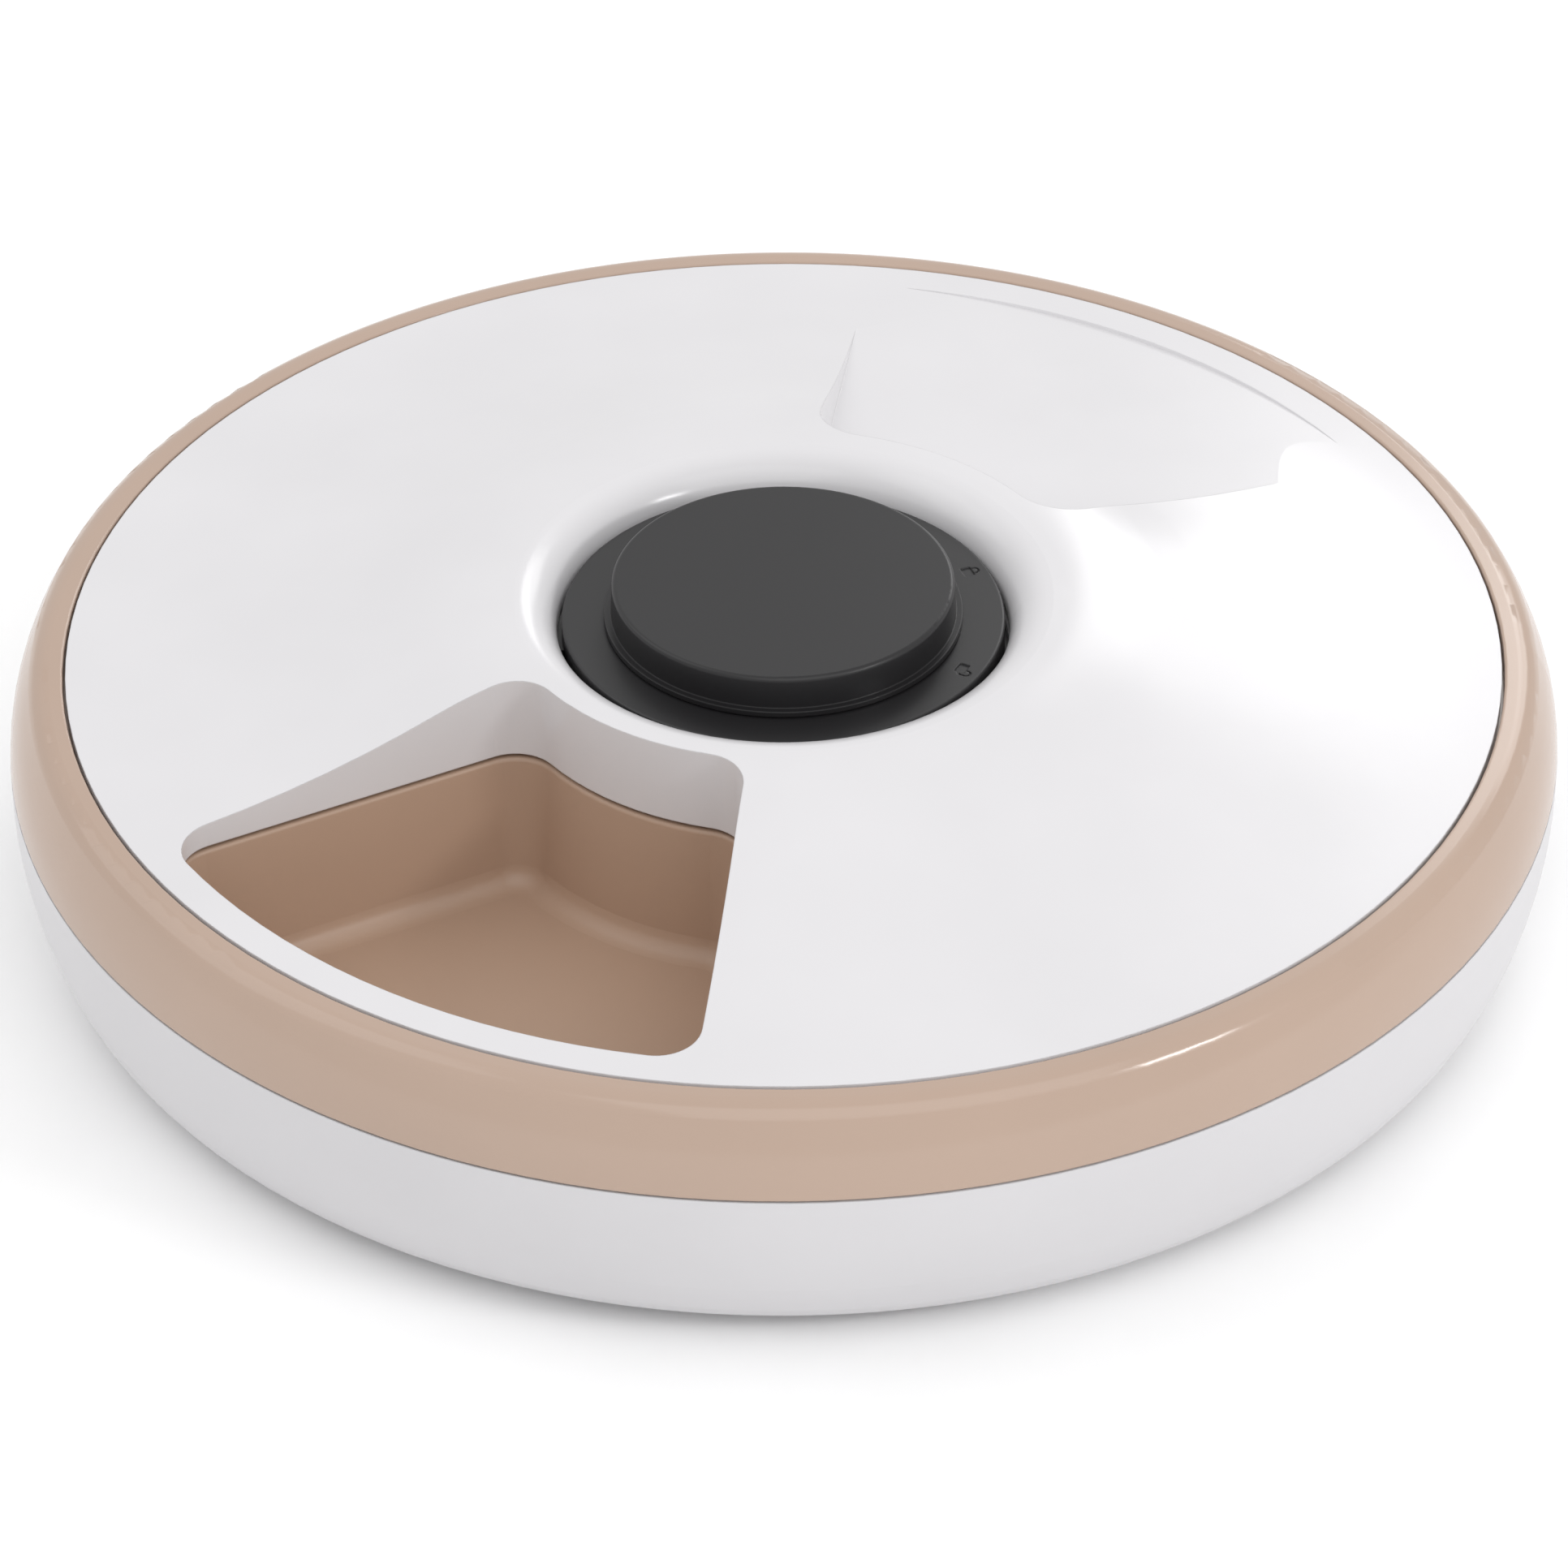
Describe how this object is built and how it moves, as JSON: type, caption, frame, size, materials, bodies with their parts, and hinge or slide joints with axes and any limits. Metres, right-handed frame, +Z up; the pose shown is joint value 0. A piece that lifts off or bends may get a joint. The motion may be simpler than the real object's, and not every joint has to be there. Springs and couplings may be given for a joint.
{
  "type": "automatic pet feeder",
  "caption": "Round timed pet feeder: white base and domed lid with a sector window, beige ring, turning beige tray of covered meal compartments, black twist cap over the controls.",
  "frame": {"origin": "on the table under the middle of the base, level with the underside of the feet", "axes": "+Z up along the tray's axis, -Y towards the front, where a person reads the controls; the window stands at the front left"},
  "size_m": [0.32, 0.32, 0.0772],
  "materials": {
    "white_shell": "satin moulded ABS",
    "white_lid": "smooth semi-gloss moulded ABS",
    "white_inner": "fine matt moulded ABS",
    "beige_gloss": "semi-gloss moulded ABS",
    "beige_tray": "satin moulded polypropylene, food safe",
    "foot_rubber": "soft moulded rubber",
    "black_panel": "fine satin moulded ABS",
    "black_cap": "fine satin moulded ABS",
    "black_pom": "moulded acetal",
    "cell_wrap": "printed sleeve",
    "contact_metal": "nickel plated",
    "steel_pin": "ground steel",
    "screw_steel": "zinc plated",
    "bush_brass": "turned brass",
    "gearbox_metal": "pressed brass plates",
    "motor_can": "drawn steel can",
    "grey_bracket": "moulded ABS",
    "natural_pom": "natural acetal",
    "magnet": "nickel plated",
    "board_green": "solder mask on glass-epoxy board",
    "chip_black": "moulded epoxy",
    "display_grey": "liquid crystal cell in a frame",
    "lens_clear": "clear acrylic",
    "button_grey": "soft silicone keys"
  },
  "bodies": {
    "base": {"base_shell": "white_shell", "batteries": "cell_wrap", "battery_door": "white_shell", "board_parts": "chip_black", "board_screws": "screw_steel", "bracket_screws": "screw_steel", "circuit_board": "board_green", "contact_plates": "contact_metal", "contact_springs": "contact_metal", "control_panel": "black_panel", "deck_screws": "screw_steel", "display_lens": "lens_clear", "display_module": "display_grey", "door_screws": "screw_steel", "gearbox": "gearbox_metal", "hub_deck": "white_inner", "index_sensor": "board_green", "key_switches": "chip_black", "motor": "motor_can", "motor_bracket": "grey_bracket", "panel_screws": "screw_steel", "roller_axles": "steel_pin", "rubber_feet": "foot_rubber", "shaft_bush": "bush_brass", "upper_ring": "beige_gloss"},
    "food_tray": {"food_tray": "beige_tray", "index_magnets": "magnet"},
    "drive_pinion": {"drive_pinion": "natural_pom", "drive_shaft": "steel_pin"},
    "tray_roller_1": {"tray_roller_1": "natural_pom"},
    "tray_roller_2": {"tray_roller_2": "natural_pom"},
    "tray_roller_3": {"tray_roller_3": "natural_pom"},
    "lid": {"lid": "white_lid"},
    "locking_ring": {"locking_ring": "black_pom"},
    "cap": {"cap": "black_cap"},
    "button_clock": {"button_clock": "button_grey"},
    "button_meal": {"button_meal": "button_grey"},
    "button_up": {"button_up": "button_grey"},
    "button_down": {"button_down": "button_grey"}
  },
  "joints": [
    {"name": "tray_turn", "type": "hinge", "parent": "base", "child": "food_tray", "pos_m": [0, 0, 0.04], "axis": [0, 0, 1], "continuous": true},
    {"name": "pinion_turn", "type": "hinge", "parent": "base", "child": "drive_pinion", "pos_m": [0, 0.0405, 0.027], "axis": [0, 0, 1], "continuous": true},
    {"name": "roller_1_turn", "type": "hinge", "parent": "base", "child": "tray_roller_1", "pos_m": [0.10219, 0.059, 0.0175], "axis": [0.866, 0.5, 0], "continuous": true},
    {"name": "roller_2_turn", "type": "hinge", "parent": "base", "child": "tray_roller_2", "pos_m": [-0.10219, 0.059, 0.0175], "axis": [-0.866, 0.5, 0], "continuous": true},
    {"name": "roller_3_turn", "type": "hinge", "parent": "base", "child": "tray_roller_3", "pos_m": [0, -0.118, 0.0175], "axis": [0, -1, 0], "continuous": true},
    {"name": "lid_lift", "type": "slide", "parent": "base", "child": "lid", "axis": [0, 0, 1], "range_m": [0, 0.06]},
    {"name": "cap_turn", "type": "hinge", "parent": "base", "child": "locking_ring", "pos_m": [0, 0, 0.063], "axis": [0, 0, 1], "range_deg": [-50, 0]},
    {"name": "cap_lift", "type": "slide", "parent": "locking_ring", "child": "cap", "axis": [0, 0, 1], "range_m": [0, 0.03]},
    {"name": "press_clock", "type": "slide", "parent": "base", "child": "button_clock", "axis": [0, 0, -1], "range_m": [0, 0.0012], "stiffness_N_per_m": 900, "springref_m": -0.0008},
    {"name": "press_meal", "type": "slide", "parent": "base", "child": "button_meal", "axis": [0, 0, -1], "range_m": [0, 0.0012], "stiffness_N_per_m": 900, "springref_m": -0.0008},
    {"name": "press_up", "type": "slide", "parent": "base", "child": "button_up", "axis": [0, 0, -1], "range_m": [0, 0.0012], "stiffness_N_per_m": 900, "springref_m": -0.0008},
    {"name": "press_down", "type": "slide", "parent": "base", "child": "button_down", "axis": [0, 0, -1], "range_m": [0, 0.0012], "stiffness_N_per_m": 900, "springref_m": -0.0008}
  ],
  "couplings": [
    {"joint": "pinion_turn", "follows": "tray_turn", "ratio": 4},
    {"joint": "roller_1_turn", "follows": "tray_turn", "ratio": -23.6},
    {"joint": "roller_2_turn", "follows": "tray_turn", "ratio": -23.6},
    {"joint": "roller_3_turn", "follows": "tray_turn", "ratio": -23.6}
  ]
}
